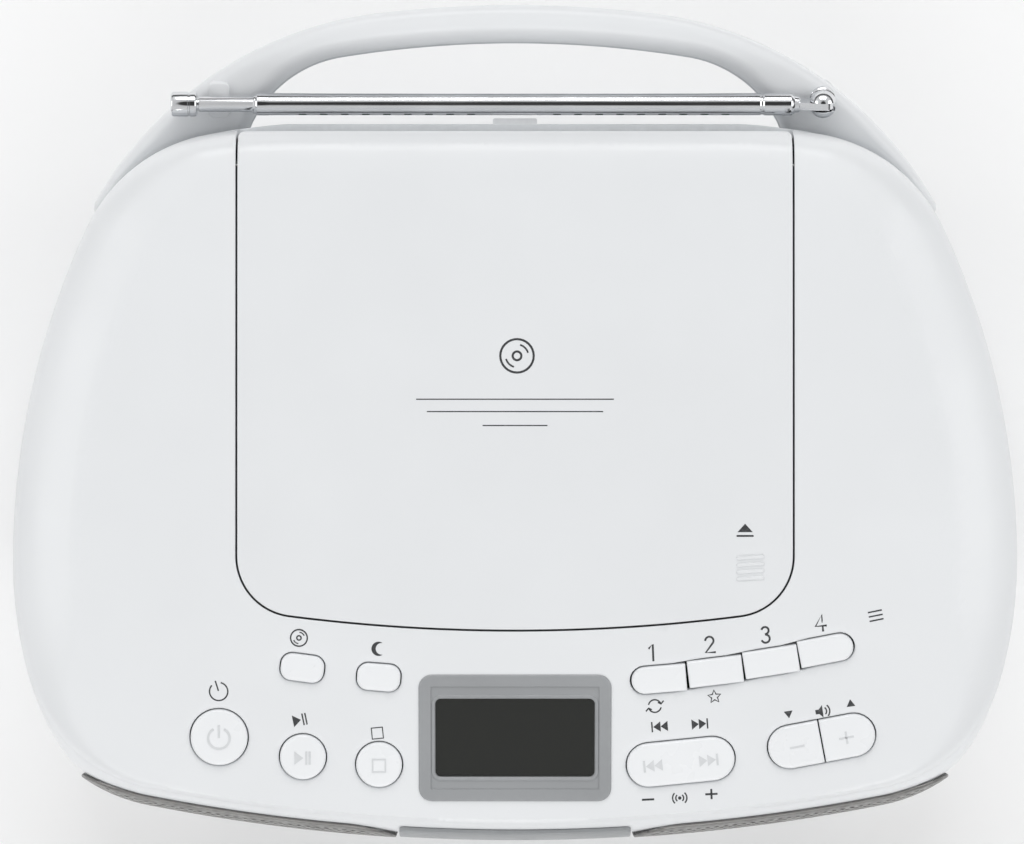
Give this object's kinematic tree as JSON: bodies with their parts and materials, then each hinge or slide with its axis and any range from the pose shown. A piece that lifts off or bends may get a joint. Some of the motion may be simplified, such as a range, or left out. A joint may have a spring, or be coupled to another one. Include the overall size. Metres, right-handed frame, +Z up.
{
  "type": "portable cd radio",
  "caption": "Low rounded CD radio with a hinged disc lid, sloping key panel with display, front grilles, rear carrying handle and telescopic antenna.",
  "frame": {"origin": "on the floor, under the middle of the outer size", "axes": "+Z up, -Y towards the keys and grilles, +X to the right as the user sees it"},
  "size_m": [0.254, 0.2123, 0.1088],
  "materials": {
    "white_shell": "satin",
    "grey_shell": "satin",
    "key_white": "satin",
    "grille_metal": "satin",
    "grey_trim": "satin",
    "well_grey": "matte",
    "lcd_glass": "gloss",
    "lcd_frame": "matte",
    "pcb": "satin",
    "steel": "satin",
    "motor_can": "satin",
    "chrome": "polished",
    "rubber": "matte",
    "black_plastic": "satin",
    "nylon": "satin",
    "lens_glass": "gloss",
    "paper_cone": "matte",
    "iron_core": "satin"
  },
  "bodies": {
    "cabinet": {"top_cabinet": "white_shell", "front_badge": "white_shell", "handle_upper": "white_shell", "front_cabinet": "grey_shell", "rear_cabinet": "grey_shell", "base_cabinet": "grey_shell", "handle_lower": "grey_shell", "grille_left": "grille_metal", "grille_right": "grille_metal", "lcd_bezel": "grey_trim", "disc_well": "well_grey", "lcd_window": "lcd_glass", "lcd_module": "lcd_frame", "key_board": "pcb", "main_board": "pcb", "handle_screws": "steel", "cabinet_screws": "steel", "battery_springs": "steel", "guide_rods": "steel", "lid_hinge_pins": "steel", "spindle_motor": "motor_can", "sled_motor": "motor_can", "mechanism_chassis": "motor_can", "rubber_feet": "rubber", "mechanism_dampers": "rubber", "ac_inlet": "black_plastic", "headphone_jack": "black_plastic", "line_in_jack": "black_plastic", "latch_housing": "black_plastic", "speaker_left": "black_plastic", "speaker_right": "black_plastic", "ferrite_aerial": "black_plastic", "transformer": "iron_core"},
    "lid": {"lid": "white_shell"},
    "battery_cover": {"battery_cover": "grey_shell"},
    "skip_rocker": {"skip_rocker": "key_white"},
    "latch_slider": {"latch_slider": "nylon"},
    "turntable": {"turntable": "black_plastic"},
    "pickup": {"pickup_sled": "black_plastic"},
    "lens": {"pickup_lens": "lens_glass"},
    "sled_gear": {"sled_gear": "nylon"},
    "cone_left": {"cone_left": "paper_cone"},
    "cone_right": {"cone_right": "paper_cone"},
    "antenna_swivel": {"antenna_swivel": "chrome"},
    "antenna_tube_1": {"antenna_tube_1": "chrome"},
    "antenna_tube_2": {"antenna_tube_2": "chrome"},
    "antenna_tube_3": {"antenna_tube_3": "chrome"},
    "antenna_tip": {"antenna_tip": "chrome"},
    "power_button": {"power_button": "key_white"},
    "function_button": {"function_button": "key_white"},
    "sleep_button": {"sleep_button": "key_white"},
    "play_button": {"play_button": "key_white"},
    "stop_button": {"stop_button": "key_white"},
    "preset_key_1": {"preset_key_1": "key_white"},
    "preset_key_2": {"preset_key_2": "key_white"},
    "preset_key_3": {"preset_key_3": "key_white"},
    "preset_key_4": {"preset_key_4": "key_white"},
    "volume_down_key": {"volume_down_key": "key_white"},
    "volume_up_key": {"volume_up_key": "key_white"}
  },
  "joints": [
    {"name": "lid_hinge", "type": "hinge", "parent": "cabinet", "child": "lid", "pos_m": [0, 0.07138, 0.09632], "axis": [-1, 0, 0], "range_deg": [0, 70]},
    {"name": "battery_cover_hinge", "type": "hinge", "parent": "cabinet", "child": "battery_cover", "pos_m": [0, 0.011, 0.0047], "axis": [-1, 0, 0], "range_deg": [0, 100]},
    {"name": "skip_tilt", "type": "hinge", "parent": "cabinet", "child": "skip_rocker", "pos_m": [0.0418, -0.08516, 0.09159], "axis": [-0.1025, 0.966, 0.2374], "range_deg": [-3, 3], "stiffness_Nm_per_rad": 0.03},
    {"name": "latch_travel", "type": "slide", "parent": "cabinet", "child": "latch_slider", "axis": [0, 0.0436, -0.999], "range_m": [0, 0.002], "stiffness_N_per_m": 150},
    {"name": "disc_spin", "type": "hinge", "parent": "cabinet", "child": "turntable", "pos_m": [0, 0.00839, 0.09237], "axis": [0, -0.0436, 0.999], "continuous": true},
    {"name": "pickup_slide", "type": "slide", "parent": "cabinet", "child": "pickup", "axis": [0, -0.999, -0.0436], "range_m": [0, 0.031]},
    {"name": "lens_focus", "type": "slide", "parent": "pickup", "child": "lens", "axis": [0, -0.0436, 0.999], "range_m": [-0.0004, 0.0004], "stiffness_N_per_m": 20},
    {"name": "sled_gear_spin", "type": "hinge", "parent": "cabinet", "child": "sled_gear", "pos_m": [0.031, -0.02398, 0.09095], "axis": [0, -0.0436, 0.999], "range_deg": [0, 300]},
    {"name": "antenna_turn", "type": "hinge", "parent": "cabinet", "child": "antenna_swivel", "pos_m": [0.0782, 0.08069, 0.09402], "axis": [0, 0.4147, -0.91], "range_deg": [0, 180]},
    {"name": "antenna_lift", "type": "hinge", "parent": "antenna_swivel", "child": "antenna_tube_1", "pos_m": [0.0782, 0.08069, 0.09402], "axis": [0, 0.91, 0.4147], "range_deg": [0, 90]},
    {"name": "antenna_slide_1", "type": "slide", "parent": "antenna_tube_1", "child": "antenna_tube_2", "axis": [-1, 0, 0], "range_m": [0, 0.115]},
    {"name": "antenna_slide_2", "type": "slide", "parent": "antenna_tube_2", "child": "antenna_tube_3", "axis": [-1, 0, 0], "range_m": [0, 0.115]},
    {"name": "antenna_slide_3", "type": "slide", "parent": "antenna_tube_3", "child": "antenna_tip", "axis": [-1, 0, 0], "range_m": [0, 0.115]},
    {"name": "cone_left_travel", "type": "slide", "parent": "cabinet", "child": "cone_left", "axis": [0, -1, 0], "range_m": [-0.001, 0.001], "stiffness_N_per_m": 1500},
    {"name": "cone_right_travel", "type": "slide", "parent": "cabinet", "child": "cone_right", "axis": [0, -1, 0], "range_m": [-0.001, 0.001], "stiffness_N_per_m": 1500},
    {"name": "power_button_press", "type": "slide", "parent": "cabinet", "child": "power_button", "axis": [0, 0.2387, -0.9711], "range_m": [0, 0.0008], "stiffness_N_per_m": 300},
    {"name": "function_button_press", "type": "slide", "parent": "cabinet", "child": "function_button", "axis": [0, 0.2387, -0.9711], "range_m": [0, 0.0008], "stiffness_N_per_m": 300},
    {"name": "sleep_button_press", "type": "slide", "parent": "cabinet", "child": "sleep_button", "axis": [0, 0.2387, -0.9711], "range_m": [0, 0.0008], "stiffness_N_per_m": 300},
    {"name": "play_button_press", "type": "slide", "parent": "cabinet", "child": "play_button", "axis": [0, 0.2387, -0.9711], "range_m": [0, 0.0008], "stiffness_N_per_m": 300},
    {"name": "stop_button_press", "type": "slide", "parent": "cabinet", "child": "stop_button", "axis": [0, 0.2387, -0.9711], "range_m": [0, 0.0008], "stiffness_N_per_m": 300},
    {"name": "preset_key_1_press", "type": "slide", "parent": "cabinet", "child": "preset_key_1", "axis": [0, 0.2387, -0.9711], "range_m": [0, 0.0008], "stiffness_N_per_m": 300},
    {"name": "preset_key_2_press", "type": "slide", "parent": "cabinet", "child": "preset_key_2", "axis": [0, 0.2387, -0.9711], "range_m": [0, 0.0008], "stiffness_N_per_m": 300},
    {"name": "preset_key_3_press", "type": "slide", "parent": "cabinet", "child": "preset_key_3", "axis": [0, 0.2387, -0.9711], "range_m": [0, 0.0008], "stiffness_N_per_m": 300},
    {"name": "preset_key_4_press", "type": "slide", "parent": "cabinet", "child": "preset_key_4", "axis": [0, 0.2387, -0.9711], "range_m": [0, 0.0008], "stiffness_N_per_m": 300},
    {"name": "volume_down_key_press", "type": "slide", "parent": "cabinet", "child": "volume_down_key", "axis": [0, 0.2387, -0.9711], "range_m": [0, 0.0008], "stiffness_N_per_m": 300},
    {"name": "volume_up_key_press", "type": "slide", "parent": "cabinet", "child": "volume_up_key", "axis": [0, 0.2387, -0.9711], "range_m": [0, 0.0008], "stiffness_N_per_m": 300}
  ],
  "couplings": [
    {"joint": "sled_gear_spin", "follows": "pickup_slide", "rad_per_m": 166.67}
  ]
}
